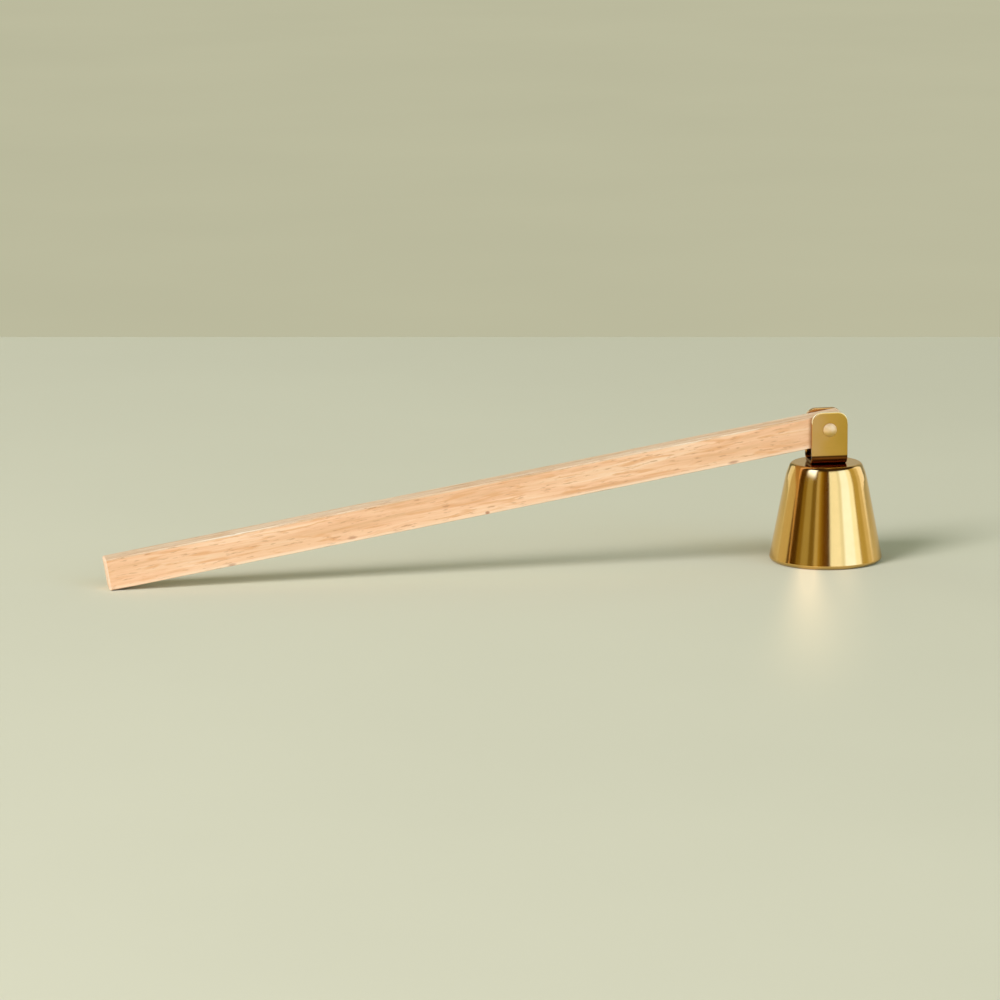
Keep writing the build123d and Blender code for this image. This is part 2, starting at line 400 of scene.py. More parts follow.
class Tree:
    """Builds a node tree with short calls."""

    def __init__(self, owner):
        owner.use_nodes = True
        self.tree = owner.node_tree
        self.tree.nodes.clear()

    def add(self, kind, inputs=None, **settings):
        """Node of a kind; an input is a value, or another node's output that it is linked to."""
        node = self.tree.nodes.new(kind)
        for name, value in settings.items():
            setattr(node, name, value)
        for name, value in (inputs or {}).items():
            if isinstance(value, bpy.types.NodeSocket):
                self.tree.links.new(value, node.inputs[name])
            else:
                node.inputs[name].default_value = value
        return node

    def noise(self, vector, scale, detail=2.0, roughness=0.5, distortion=0.0):
        inputs = {"Vector": vector, "Scale": scale, "Detail": detail,
                  "Roughness": roughness, "Distortion": distortion}
        return self.add("ShaderNodeTexNoise", inputs).outputs["Fac"]

    def stretch(self, vector, scale, location=(0, 0, 0)):
        """A vector scaled and then moved."""
        inputs = {"Vector": vector, "Scale": scale, "Location": location}
        return self.add("ShaderNodeMapping", inputs).outputs["Vector"]

    def span(self, value, low, high, to_low=0.0, to_high=1.0):
        """A value between low and high, mapped to lie between two others and held there."""
        inputs = {"Value": value, "From Min": low, "From Max": high,
                  "To Min": to_low, "To Max": to_high}
        return self.add("ShaderNodeMapRange", inputs).outputs["Result"]

    def ramp(self, value, stops):
        """The colour at a value from 0 to 1, between stops of (position, colour)."""
        node = self.add("ShaderNodeValToRGB", {"Fac": value})
        elements = node.color_ramp.elements
        while len(elements) < len(stops):
            elements.new(0.5)
        for element, (position, colour) in zip(elements, stops):
            element.position = position
            element.color = (*colour, 1)
        return node.outputs["Color"]

    def mix(self, factor, first, second, blend="MIX"):
        node = self.add("ShaderNodeMix", data_type="RGBA", blend_type=blend)
        sockets = (node.inputs[0], node.inputs[6], node.inputs[7])
        for socket, value in zip(sockets, (factor, first, second)):
            if isinstance(value, bpy.types.NodeSocket):
                self.tree.links.new(value, socket)
            elif isinstance(value, tuple):
                socket.default_value = (*value, 1)
            else:
                socket.default_value = value
        return node.outputs[2]

    def math(self, operation, first, second=0.0):
        node = self.add("ShaderNodeMath", operation=operation)
        for socket, value in zip(node.inputs, (first, second)):
            if isinstance(value, bpy.types.NodeSocket):
                self.tree.links.new(value, socket)
            else:
                socket.default_value = value
        return node.outputs[0]

    def vector_math(self, operation, *values):
        """Result of a vector operation; a length or a dot product is a number."""
        node = self.add("ShaderNodeVectorMath", dict(enumerate(values)), operation=operation)
        return node.outputs["Value" if operation in ("LENGTH", "DOT_PRODUCT") else "Vector"]

    def parts(self, vector):
        """The X, Y and Z of a vector."""
        return self.add("ShaderNodeSeparateXYZ", {"Vector": vector}).outputs

    def openness(self, reach):
        """1 in the open, less where another face is within reach."""
        node = self.add("ShaderNodeAmbientOcclusion", {"Distance": reach}, samples=CORNER_SAMPLES)
        return node.outputs["AO"]

    def bump(self, height, distance, strength=1.0, normal=None):
        inputs = {"Height": height, "Distance": distance, "Strength": strength}
        if normal:
            inputs["Normal"] = normal
        return self.add("ShaderNodeBump", inputs).outputs["Normal"]

    def surface(self, shader):
        self.add("ShaderNodeOutputMaterial", {"Surface": shader.outputs[0]})


def new_tree(name):
    material = bpy.data.materials.new(name)
    return material, Tree(material)


def strap_painted_shade(tree, spot, side, openness, painted_shade):
    """Adds the strap's painted shade: all round it low down, and higher up on all but its front."""
    shade_top = bell_high.z + STRAP_SHADE_HEIGHT
    low = tree.span(spot["Z"], shade_top, shade_top - STRAP_SHADE_FADE, 0.0, 0.85)
    not_front = tree.span(side["Y"], -0.75, -0.35)
    painted_shade = tree.math("MAXIMUM", painted_shade, tree.math("MULTIPLY", low, not_front))
    bend_top = bell_high.z + BEND_SHADE_HEIGHT
    bend = tree.span(spot["Z"], bend_top, bend_top - BEND_SHADE_FADE, 0.0, 0.7)
    painted_shade = tree.math("MAXIMUM", painted_shade, bend)
    return tree.math("MAXIMUM", painted_shade, tree.span(openness, 0.4, 0.85, 1.0, 0.0))


def strap_wear_and_highlight(tree, spot, side, clean):
    """The strap's warmer inside, and its edges dulled by handling and made pale as a painted highlight;
    gives its tone and metallic.
    """
    straight_top = strap_high.z - STRAP_CORNER
    outside, inside = strap_high.y - STRAP_OUTSIDE, strap_high.y - STRAP_INSIDE
    edge = tree.span(tree.math("ABSOLUTE", side["Y"]), 0.97, 0.85)
    clear = tree.span(spot["Z"], straight_top - DULL_EDGE_START, straight_top)
    from_middle = tree.math("ABSOLUTE", spot["Y"])
    outer = tree.span(from_middle, inside, outside, 0.3, 1.0)
    pale_edge_highlight = tree.math("MULTIPLY", tree.math("MULTIPLY", edge, clear), outer)
    inner = tree.math("MULTIPLY", tree.span(from_middle, outside, inside), 0.8)
    warmer = tree.mix(inner, clean, STRAP_INSIDE_TONE)
    return tree.mix(pale_edge_highlight, warmer, DULL_EDGE_AND_HIGHLIGHT), tree.span(pale_edge_highlight, 0.0, 1.0, 1.0, 0.3)


def strap_bend_shade_line(tree, spot, tone):
    """Adds a painted dark line of shade across the foot of each ear, at its bend."""
    apart = tree.math("ABSOLUTE", tree.math("SUBTRACT", spot["Z"], bell_high.z + BEND_SHADE_LINE))
    line = tree.span(apart, BEND_SHADE_LINE_REACH, BEND_SHADE_LINE_CORE, 0.0, 0.95)
    return tree.mix(line, tone, BEND_SHADE_LINE_TONE)


def metal(name, tones, roughness, rough_range, waves, scratches,
          underside=(PAINTED_SHADE_TONE, 0.5, 0.05, -0.3), strap_width=None, metallic=1.0):
    """Metal with faint waves, fine polishing lines, duller patches and painted shade in its corners.

    It runs through its tones in patches or, for a strap of a given width, from side to side as a
    painted reflection.
    The underside is a painted shade: a tone, its strength, and the normal's Z where it starts and where
    it is full.
    """
    material, tree = new_tree(name)
    place = tree.add("ShaderNodeTexCoord").outputs["Object"]
    spot = tree.parts(place)
    side = tree.parts(tree.add("ShaderNodeNewGeometry").outputs["Normal"])
    patches = tree.noise(place, TONE_WAVES, 3)
    share = tree.span(patches, 0.35, 0.75)
    # Painted reflection: the strap's tone darkens from side to side
    if strap_width:
        left, right = bell_axis.x - strap_width / 2, bell_axis.x + strap_width / 2
        fade = tree.span(spot["X"], left, right, -0.15, 0.85)
        share = tree.math("ADD", fade, tree.math("MULTIPLY", share, 0.3))
    clean = tree.ramp(share, [(k / (len(tones) - 1), tone) for k, tone in enumerate(tones)])
    # Painted shade: darker where another face is within reach, faded out near the table
    openness = tree.openness(CORNER_SHADE_REACH)
    above_table = tree.span(spot["Z"], SHADE_FREE_HEIGHT / 2, SHADE_FREE_HEIGHT)
    painted_shade = tree.math("MULTIPLY", tree.span(openness, 0.2, 0.75, 1.0, 0.0), above_table)
    if strap_width:
        painted_shade = strap_painted_shade(tree, spot, side, openness, painted_shade)
        clean, metallic = strap_wear_and_highlight(tree, spot, side, clean)
    polished = tree.mix(painted_shade, clean, PAINTED_SHADE_TONE)
    if strap_width:
        polished = strap_bend_shade_line(tree, spot, polished)
    # Painted shade: faces turned downwards take the underside's tone
    underside_shade, strength, start, full = underside
    tone = tree.mix(tree.span(side["Z"], start, full, 0.0, strength), polished, underside_shade)
    lines = tree.noise(tree.stretch(place, LINE_STRETCH), LINE_WAVES, 2)
    rough = tree.span(tree.math("ADD", patches, lines), 0.7, 1.3, roughness, roughness + rough_range)
    wavy = tree.bump(tree.noise(place, FACE_WAVES, 1), waves)
    normal = tree.bump(lines, scratches, 1.0, wavy)
    shader = tree.add("ShaderNodeBsdfPrincipled", {
        "Base Color": tone, "Metallic": metallic, "Roughness": rough, "Normal": normal})
    tree.surface(shader)
    return material


def along_the_grain(tree):
    """Coordinates measured from the pivot, along, across and up the tilted stick."""
    place = tree.add("ShaderNodeTexCoord").outputs["Object"]
    back = Matrix.Rotation(tilt_at_rest(), 3, "Y")
    inputs = {"Vector": place, "Rotation": back.to_euler(), "Location": -(back @ pivot)}
    return tree.add("ShaderNodeMapping", inputs).outputs["Vector"]


def add_wood_marks(tree, place, tone):
    """Adds the small dark marks on the stick's front."""
    for along, up, half_length, half_height, strength in WOOD_MARKS:
        middle = Vector((along, -STICK_THICKNESS / 2, up))
        size = Vector((1 / half_length, 1 / half_length, 1 / half_height))
        apart = tree.vector_math("SUBTRACT", place, middle)
        reach = tree.vector_math("LENGTH", tree.vector_math("MULTIPLY", apart, size))
        tone = tree.mix(tree.span(reach, 1.2, 0.5, 0.0, strength), tone, MARK_TONE)
    return tone


def wood_side():
    """Oiled pale hardwood: long wavy grain, short dark pores and slightly darker bands, with a painted
    sheen on top, painted highlights on its lower edges and painted shade beside the brass and the
    table.
    """
    material, tree = new_tree("wood_side_grain")
    place = along_the_grain(tree)
    drift = tree.math("MULTIPLY", tree.noise(tree.stretch(place, DRIFT_WAVES), 1, 2), GRAIN_DRIFT)
    upwards = tree.add("ShaderNodeCombineXYZ", {"Z": drift}).outputs[0]
    grain_place = tree.vector_math("ADD", place, upwards)
    long_grain = tree.noise(tree.stretch(grain_place, GRAIN_WAVES), 1, 5, 0.62, 0.6)
    base = tree.ramp(long_grain, GRAIN_TONES)
    bands = tree.noise(tree.stretch(grain_place, BAND_WAVES, (3, 0, 0)), 1, 2)
    banded = tree.mix(tree.span(bands, 0.45, 0.75, 0.0, 0.45), base, BAND_TONE)
    streaks = tree.noise(tree.stretch(grain_place, STREAK_WAVES, (5, 0, 0)), 1, 2, 0.5, 0.8)
    streaked = tree.mix(tree.span(streaks, 0.53, 0.66, 0.0, 0.85), banded, STREAK_TONE)
    pores = tree.span(tree.noise(tree.stretch(grain_place, PORE_WAVES), 1, 3, 0.55), 0.585, 0.68)
    flecked = tree.mix(tree.math("MULTIPLY", pores, 0.65), streaked, PORE_TONE)

    height = tree.parts(place)["Z"]
    bottom, top = -STICK_HEIGHT / 2, STICK_HEIGHT / 2
    # Painted highlight: the lower edges made paler in places, for light they catch from the table
    low = tree.span(height, bottom + LOWER_HIGHLIGHT_TOP, bottom + LOWER_HIGHLIGHT_CORE)
    pale_edge_highlight = tree.math("MULTIPLY", low, tree.span(bands, 0.35, 0.55, 0.25, 0.8))
    marked = add_wood_marks(tree, place, tree.mix(pale_edge_highlight, flecked, LOWER_EDGE_HIGHLIGHT))
    # Painted sheen: the top face tinted greyer, as if by the light it mirrors at a grazing angle
    on_top = tree.span(height, top - 2 * STICK_EDGE, top - STICK_EDGE)
    top_sheen = tree.mix(on_top, marked, tree.mix(1.0, marked, TOP_SHEEN_TINT, "MULTIPLY"))
    # Painted shade: darker where the brass or the table is within reach
    contact_shade = tree.span(tree.openness(WOOD_CONTACT_SHADE_REACH), 0.95, 0.55, 0.0, 0.8)
    coloured = tree.mix(contact_shade, top_sheen, WOOD_CONTACT_SHADE)

    rough = tree.span(long_grain, 0.3, 0.7, 0.52, 0.42)
    relief = tree.math("SUBTRACT", long_grain, tree.math("MULTIPLY", pores, 0.5))
    normal = tree.bump(relief, 0.01 * MM, 0.6)
    shader = tree.add("ShaderNodeBsdfPrincipled", {
        "Base Color": coloured, "Roughness": rough, "Normal": normal, "IOR": 1.5})
    tree.surface(shader)
    return material


def wood_end():
    """The stick's sawn end: paler, with growth bands and pores seen end on."""
    material, tree = new_tree("wood_end_grain")
    place = along_the_grain(tree)
    bands = tree.noise(tree.stretch(place, END_BAND_WAVES), 1, 2, 0.5, 0.4)
    base = tree.ramp(bands, END_TONES)
    pores = tree.span(tree.noise(tree.stretch(place, (0, 1, 1)), END_PORE_WAVES, 1), 0.62, 0.72)
    coloured = tree.mix(tree.math("MULTIPLY", pores, 0.2), base, END_PORE_TONE)
    normal = tree.bump(tree.math("SUBTRACT", bands, pores), 0.02 * MM, 0.5)
    shader = tree.add("ShaderNodeBsdfPrincipled", {
        "Base Color": coloured, "Roughness": 0.62, "Normal": normal})
    tree.surface(shader)
    return material


# Pieces of the object

def make_bell(brass):
    """Spun cone with a curved crown and a rim folded inwards, its fold's seam open inside."""
    height = bell_high.z
    crown_base = height - BELL_CROWN_HEIGHT
    slope = (BELL_FOOT_RADIUS - BELL_CROWN_RADIUS) / crown_base
    crown_slope = (BELL_CROWN_RADIUS - BELL_TOP_RADIUS) / BELL_CROWN_HEIGHT
    slant, crown_slant = math.hypot(slope, 1), math.hypot(crown_slope, 1)
    ceiling = height - BELL_WALL
    crown_drop = BELL_WALL * (crown_slant - slant) / (crown_slope - slope)

    def inner(at, thickness):
        """Radius of the wall's inner side at a height."""
        return BELL_FOOT_RADIUS - slope * at - thickness * slant

    seam_floor = HEM_HEIGHT - HEM_SEAM_DEPTH
    outline = rounded_outline([
        (SCREW_HOLE, height, BELL_HOLE_EDGE),
        (BELL_TOP_RADIUS, height, BELL_SHOULDER),
        (BELL_CROWN_RADIUS, crown_base, BELL_CROWN_CURVE),
        (BELL_FOOT_RADIUS, 0, BELL_RIM),
        (inner(0, HEM_THICKNESS), 0, HEM_INSIDE),
        (inner(HEM_HEIGHT, HEM_THICKNESS), HEM_HEIGHT, HEM_LIP),
        (inner(HEM_HEIGHT, BELL_WALL + HEM_SEAM_WIDTH), HEM_HEIGHT, HEM_SEAM_LIP),
        (inner(seam_floor, BELL_WALL + HEM_SEAM_WIDTH), seam_floor, 0),
        (inner(seam_floor, BELL_WALL), seam_floor, 0),
        (inner(crown_base - crown_drop, BELL_WALL), crown_base - crown_drop, BELL_CROWN_CURVE),
        (BELL_TOP_RADIUS + (crown_slope - crown_slant) * BELL_WALL, ceiling, BELL_SHOULDER - BELL_WALL),
        (SCREW_HOLE, ceiling, 0),
    ])
    mesh = lathe(divided(outline, BELL_SPACING), BELL_SEGMENTS)
    mesh.transform(Matrix.Translation(bell_axis))
    return finish_piece(add_object("bell_shell", mesh), "bell", [brass])


def strap_station(along, straight, outer_half):
    """Place on the strap's outer face, and the direction into the sheet, in (y, z)."""
    floor = bell_high.z
    bend_length = STRAP_BEND * math.pi / 2
    half_base = outer_half - STRAP_BEND
    half_path = straight + bend_length + half_base
    if along > half_path:
        place, inward = strap_station(2 * half_path - along, straight, outer_half)
        return Vector((-place.x, place.y)), Vector((-inward.x, inward.y))
    if along <= straight:
        return Vector((-outer_half, strap_high.z - along)), Vector((1, 0))
    if along >= straight + bend_length:
        return Vector((-half_base + along - straight - bend_length, floor)), Vector((0, 1))
    angle = (along - straight) / STRAP_BEND
    inward = Vector((math.cos(angle), math.sin(angle)))
    return Vector((-half_base, floor + STRAP_BEND)) - STRAP_BEND * inward, inward


def make_strap(brass):
    """Strap of sheet bent into a U: rounded corners and edges, drilled for the rivet and screw."""
    half_width = (strap_high.x - strap_low.x) / 2
    outer_half = strap_high.y
    straight = strap_high.z - bell_high.z - STRAP_BEND
    path = 2 * (straight + STRAP_BEND * math.pi / 2 + outer_half - STRAP_BEND)
    columns = 12

    # Rows along the strap, an angle on its corner's arc or a distance; the back half mirrors them
    arc_steps = 8
    rows = [("arc", math.pi / 2 * step / arc_steps) for step in range(arc_steps + 1)]
    bend_end = straight + STRAP_BEND * math.pi / 2
    runs = [(STRAP_CORNER, straight, 8), (straight, bend_end, 12), (bend_end, path / 2, 3)]
    for start, end, steps in runs:
        rows += [("run", start + (end - start) * step / steps) for step in range(1, steps + 1)]
    rows += [("back", row) for row in reversed(rows[:-1])]

    # Levels round the edge: how far the outline shrinks, and the depth below the outer face
    edge_steps = 4
    quarter = [math.pi / 2 * step / edge_steps for step in range(edge_steps + 1)]
    levels = [(STRAP_ROLL_OVER * (1 - math.sin(a)), STRAP_EDGE * (1 - math.cos(a))) for a in quarter]
    levels += [(inset, STRAP_THICKNESS - depth) for inset, depth in reversed(levels)]

    def row_place(row, inset):
        """Distance along the strap and half width of a row on an outline that has shrunk."""
        kind, value = row
        if kind == "back":
            along, half = row_place(value, inset)
            return path - along, half
        if kind == "run":
            return value, half_width - inset
        radius = STRAP_CORNER - inset
        half = half_width - STRAP_CORNER + radius * math.sin(value)
        return STRAP_CORNER - radius * math.cos(value), half

    mesh = bmesh.new()
    made = {}

    def vertex(level, row, column):
        key = (level, row, column)
        if key not in made:
            inset, depth = levels[level]
            along, half = row_place(rows[row], inset)
            place, inward = strap_station(along, straight, outer_half)
            place = place + inward * depth
            x = half * (2 * column / columns - 1)
            made[key] = mesh.verts.new((bell_axis.x + x, place.x, place.y))
        return made[key]

    last_row, last_level = len(rows) - 1, len(levels) - 1
    for level in (0, last_level):
        for row in range(last_row):
            for column in range(columns):
                mesh.faces.new([vertex(level, row, column), vertex(level, row, column + 1),
                                vertex(level, row + 1, column + 1), vertex(level, row + 1, column)])
    border = [(0, column) for column in range(columns)]
    border += [(row, columns) for row in range(last_row)]
    border += [(last_row, column) for column in range(columns, 0, -1)]
    border += [(row, 0) for row in range(last_row, 0, -1)]
    for level in range(last_level):
        for here, there in zip(border, border[1:] + border[:1]):
            mesh.faces.new([vertex(level, *here), vertex(level, *there),
                            vertex(level + 1, *there), vertex(level + 1, *here)])
    bmesh.ops.recalc_face_normals(mesh, faces=mesh.faces)
    piece = add_object("strap_bracket", mesh)
    across = Matrix.Translation(pivot) @ Matrix.Rotation(math.pi / 2, 4, "X")
    drill(piece, prism(circle(RIVET_HOLE), -2 * outer_half, 2 * outer_half), across)
    below = Matrix.Translation(bell_axis + Vector((0, 0, bell_high.z)))
    drill(piece, prism(circle(SCREW_HOLE), -STRAP_THICKNESS, 2 * STRAP_THICKNESS), below)
    return finish_piece(piece, "bracket", [brass])


def make_stick(side, end):
    """Rectangular stick with worn, eased edges and sawn ends, tilted down to the table."""
    half_thick, half_high = STICK_THICKNESS / 2, STICK_HEIGHT / 2

    def section(inset):
        """The stick's outline, shrunk by an inset; a corner keeps a tenth of its rounding."""
        corner = max(STICK_EDGE - inset, STICK_EDGE / 10)
        sides = [(half_thick - inset, half_high - inset), (-half_thick + inset, half_high - inset),
                 (-half_thick + inset, -half_high + inset), (half_thick - inset, -half_high + inset)]
        return rounded_outline([(y, z, corner) for y, z in sides])

    def worn(point):
        """A point, or where wear has left it if it is on one of the four long edges."""
        across, up = abs(point.y) - half_thick, abs(point.z) - half_high
        if min(across, up) < TINY - STICK_EDGE:
            return point
        uneven = noise.noise(point * WEAR_WAVES)
        uneven += WEAR_SHORT_SHARE * noise.noise(point * WEAR_SHORT_WAVES)
        wear = STICK_EDGE_WEAR * max(0.0, uneven)
        return point - Vector((0, math.copysign(wear, point.y), math.copysign(wear, point.z)))

    steps = 4
    ease = [math.pi / 2 * step / steps for step in range(steps + 1)]
    insets = [(STICK_END_EDGE * (1 - math.sin(a)), STICK_END_EDGE * (1 - math.cos(a))) for a in ease]
    stations = [(-STICK_REACH + depth, inset) for inset, depth in insets]
    run_start, run_end = -STICK_REACH + STICK_END_EDGE, STICK_PAST_PIVOT - STICK_END_EDGE
    slices = round((run_end - run_start) / STICK_SLICE)
    for part in range(1, slices):
        stations.append((run_start + (run_end - run_start) * part / slices, 0.0))
    stations += [(STICK_PAST_PIVOT - depth, inset) for inset, depth in reversed(insets)]

    mesh = bmesh.new()
    rings = []
    for x, inset in stations:
        rings.append([mesh.verts.new(worn(Vector((x, y, z)))) for y, z in section(inset)])
    for place, (ring, next_ring) in enumerate(zip(rings, rings[1:])):
        at_end = place < steps or place >= len(rings) - 1 - steps
        for index in range(len(ring)):
            after = (index + 1) % len(ring)
            face = mesh.faces.new([ring[index], ring[after], next_ring[after], next_ring[index]])
            face.material_index = int(at_end)
    for ring in (rings[0], rings[-1]):
        mesh.faces.new(ring).material_index = 1
    bmesh.ops.recalc_face_normals(mesh, faces=mesh.faces)
    piece = add_object("wooden_stick", mesh)
    across = Matrix.Rotation(math.pi / 2, 4, "X")
    drill(piece, prism(circle(STICK_BORE), -STICK_THICKNESS, STICK_THICKNESS), across)
    piece.data.transform(Matrix.Translation(pivot) @ Matrix.Rotation(-tilt_at_rest(), 4, "Y"))
    return finish_piece(piece, "handle", [side, end])


def make_rivet(brass):
    """Solid rivet: a low domed head in front, a hammered tail behind."""
    front, back = -rivet_low.y, -rivet_high.y
    ear = strap_high.y
    head_edge = ear + RIVET_HEAD_LIP
    rise = front - head_edge
    sphere = (RIVET_HEAD**2 + rise**2) / (2 * rise)
    widest = math.asin(RIVET_HEAD / sphere)
    dome_steps = 14
    dome = []
    for step in range(dome_steps + 1):
        angle = widest * step / dome_steps
        dome.append(Vector((sphere * math.sin(angle), front - sphere + sphere * math.cos(angle))))
    sides = rounded_outline([
        (RIVET_HEAD, head_edge, 0),
        (RIVET_HEAD, ear, 0),
        (RIVET_RADIUS, ear, 0),
        (RIVET_RADIUS, -ear, 0),
        (RIVET_TAIL, -ear, 0),
        (RIVET_TAIL, back + RIVET_TAIL_LIP, 0),
    ])
    tail_rim = rounded_outline([
        (RIVET_TAIL, -ear, 0),
        (RIVET_TAIL, back, RIVET_TAIL_ROUND),
        (0, back, 0),
    ])
    outline = dome + sides[1:-1] + tail_rim[1:-1]
    outline += [Vector((RIVET_TAIL * share, back)) for share in (0.6, 0.4, 0.2, 0.0)]

    def hammered(radius, height, angle):
        if height > -ear:
            return radius
        round_tail = Vector((math.cos(angle), math.sin(angle), height * TAIL_WAVES_UP))
        return radius * (1 - TAIL_UNEVEN + TAIL_UNEVEN * noise.noise(round_tail * TAIL_WAVES))

    mesh = lathe(outline, RIVET_SEGMENTS, closed=False, radius_at=hammered)
    for vert in mesh.verts:
        dent = noise.noise(vert.co * DENT_WAVES)
        if vert.co.z > head_edge or vert.co.z < back + DENTED_TAIL:
            vert.co.z -= math.copysign(RIVET_DENT, vert.co.z) * (0.5 + 0.5 * dent)
    mesh.transform(Matrix.Translation(pivot) @ Matrix.Rotation(math.pi / 2, 4, "X"))
    return finish_piece(add_object("pivot_rivet_hammered", mesh), "pivot_rivet", [brass])


def make_screw(steel):
    """Pan-head screw with a cross recess and a cut thread."""
    head_low = screw_low.z
    head_high = head_low + SCREW_HEAD_HEIGHT
    tip = screw_high.z
    head = rounded_outline([
        (SCREW_RADIUS, head_high, 0),
        (SCREW_HEAD, head_high, SCREW_HEAD_EDGE),
        (SCREW_HEAD, head_low + PAN_SLOPE_HEIGHT, PAN_SIDE_ROUND),
        (SCREW_HEAD - PAN_SLOPE_WIDTH, head_low, PAN_TOP_ROUND),
        (0, head_low, 0),
    ])
    rings = round((tip - head_high) / THREAD_SPACING)
    shank_length = tip - SCREW_TIP_HEIGHT - head_high
    shank = [Vector((SCREW_RADIUS, head_high + shank_length * ring / rings))
             for ring in range(1, rings + 1)]
    end = [Vector((0, tip)), Vector((SCREW_RADIUS - SCREW_TIP_TAPER, tip))]

    def threaded(radius, height, angle):
        if abs(radius - SCREW_RADIUS) > TINY or height < head_high + THREAD_START:
            return radius
        turn = (height / THREAD_PITCH - angle / (2 * math.pi)) % 1
        return radius - THREAD_DEPTH * abs(2 * turn - 1)

    mesh = lathe(end + shank[::-1] + head, SCREW_SEGMENTS, closed=False, radius_at=threaded)
    piece = add_object("pan_head_screw", mesh)
    half, span = RECESS_WIDTH / 2, RECESS_SPAN / 2
    arm = [(span, -half), (span, half), (half, half)]
    cross = []
    for _ in range(4):
        cross += arm
        arm = [(-y, x) for x, y in arm]
    drill(piece, prism(cross, head_low - RECESS_DEPTH, head_low + RECESS_DEPTH))
    piece.data.transform(Matrix.Translation(bell_axis))
    return finish_piece(piece, "bell_screw", [steel])


def make_washer(steel):
    """Stamped washer, rounded on the side that left the die first."""
    radius = (washer_high.x - washer_low.x) / 2
    outline = rounded_outline([
        (SCREW_HOLE, washer_low.z, WASHER_HOLE_ROUND),
        (radius, washer_low.z, WASHER_DIE_ROUND),
        (radius, washer_high.z, WASHER_BURR),
        (SCREW_HOLE, washer_high.z, WASHER_BURR),
    ])
    mesh = lathe(outline, NUT_SEGMENTS)
    mesh.transform(Matrix.Translation(bell_axis))
    return finish_piece(add_object("flat_washer", mesh), "bell_washer", [steel])


def make_nut(steel):
    """Hexagon nut with chamfered corners, two flats facing the ears."""
    flat = NUT_FLATS / 2
    corner = flat / math.cos(math.pi / 6)
    low, high = nut_low.z, nut_high.z
    outline = [Vector((NUT_BORE + NUT_BORE_CHAMFER, low)), Vector((NUT_FACE_RADIUS, low))]
    chamfer_steps = 4
    for step in range(chamfer_steps + 1):
        share = step / chamfer_steps
        outline.append(Vector((flat + (corner - flat) * share, low + NUT_CHAMFER * share)))
    outline += [Vector((radius, low + high - z)) for radius, z in reversed(outline)]
    outline += [Vector((NUT_BORE, high - NUT_BORE_CHAMFER)), Vector((NUT_BORE, low + NUT_BORE_CHAMFER))]

    def hexagonal(radius, height, angle):
        return min(radius, flat / math.cos(angle % (math.pi / 3) - math.pi / 6))

    mesh = lathe(outline, NUT_SEGMENTS, radius_at=hexagonal)
    mesh.transform(Matrix.Translation(bell_axis))
    return finish_piece(add_object("hex_nut", mesh), "bracket_nut", [steel], NUT_SMOOTH_DEGREES)


# Stage, lights and camera

def streak_mask(tree, place, start, run, length, first_width, last_width, strength):
    """How strongly a streak of light from the bell's wall falls on a place of the table."""
    wall = bell_axis + studio_direction(math.radians(start), 0) * (BELL_FOOT_RADIUS - STREAK_INSET)
    apart = tree.vector_math("SUBTRACT", place, wall)
    ahead = tree.vector_math("DOT_PRODUCT", apart, studio_direction(math.radians(run), 0))
    aside = tree.vector_math("DOT_PRODUCT", apart, studio_direction(math.radians(run + 90), 0))
    share = tree.math("DIVIDE", aside, tree.span(ahead, 0.0, length, first_width, last_width))
    squared = tree.math("MULTIPLY", share, share)
    across = tree.math("POWER", math.e, tree.math("MULTIPLY", squared, -1.0))
    fade = tree.math("POWER", tree.span(ahead, 0.0, length, 1.0, 0.0), STREAK_FALL)
    outside = tree.span(ahead, -STREAK_ONSET, 0.0, 0.0, strength)
    return tree.math("MULTIPLY", tree.math("MULTIPLY", across, fade), outside)


def table_material(name, colour, evenly_lit):
    """Matt painted card with faint clouding and streaks of painted light from the bell's wall; one that
    is evenly lit looks the same all over.
    """
    material, tree = new_tree(name)
    place = tree.add("ShaderNodeTexCoord").outputs["Object"]
    cloud = tree.noise(place, TABLE_CLOUDS, 3)
    darker = tuple(channel * (1 - TABLE_MOTTLE) for channel in colour)
    tone = tree.mix(tree.span(cloud, 0.3, 0.7), darker, colour)
    # Painted light: each streak brightens the table's colour
    for streak in WALL_STREAKS:
        brighter = tree.mix(1.0, tone, STREAK_GAIN, "MULTIPLY")
        tone = tree.mix(streak_mask(tree, place, *streak), tone, brighter)
    shader = tree.add("ShaderNodeBsdfPrincipled", {
        "Base Color": tone, "Roughness": 0.9, "Specular IOR Level": 0.2})
    if evenly_lit:
        glow = tree.add("ShaderNodeEmission", {"Color": tone})
        seen = tree.add("ShaderNodeLightPath").outputs["Is Camera Ray"]
        shader = tree.add("ShaderNodeMixShader", {0: seen, 1: shader.outputs[0], 2: glow.outputs[0]})
    tree.surface(shader)
    return material


def make_table():
    """Pale table, and past its far edge the darker backdrop."""
    turn = Matrix.Translation(bell_axis) @ Matrix.Rotation(TABLE_EDGE_TURN, 4, "Z")
    cards = [
        ("table", -TABLE_SIZE, TABLE_EDGE_BEHIND_BELL, TABLE_COLOUR, False),
        ("background", TABLE_EDGE_BEHIND_BELL, TABLE_SIZE, BACKGROUND, True),
    ]
    for name, near, far, colour, evenly_lit in cards:
        mesh = bmesh.new()
        corners = [(-TABLE_SIZE, near), (TABLE_SIZE, near), (TABLE_SIZE, far), (-TABLE_SIZE, far)]
        mesh.faces.new([mesh.verts.new((x, y, 0)) for x, y in corners])
        mesh.transform(turn)
        piece = add_object(name, mesh)
        piece.data.materials.append(table_material(name, colour, evenly_lit))


def studio_direction(azimuth, elevation):
    """Unit vector from the bell; azimuth is measured from the camera, positive to its right."""
    turn = azimuth - CAMERA_AZIMUTH
    level = math.cos(elevation)
    return Vector((math.sin(turn) * level, -math.cos(turn) * level, math.sin(elevation)))


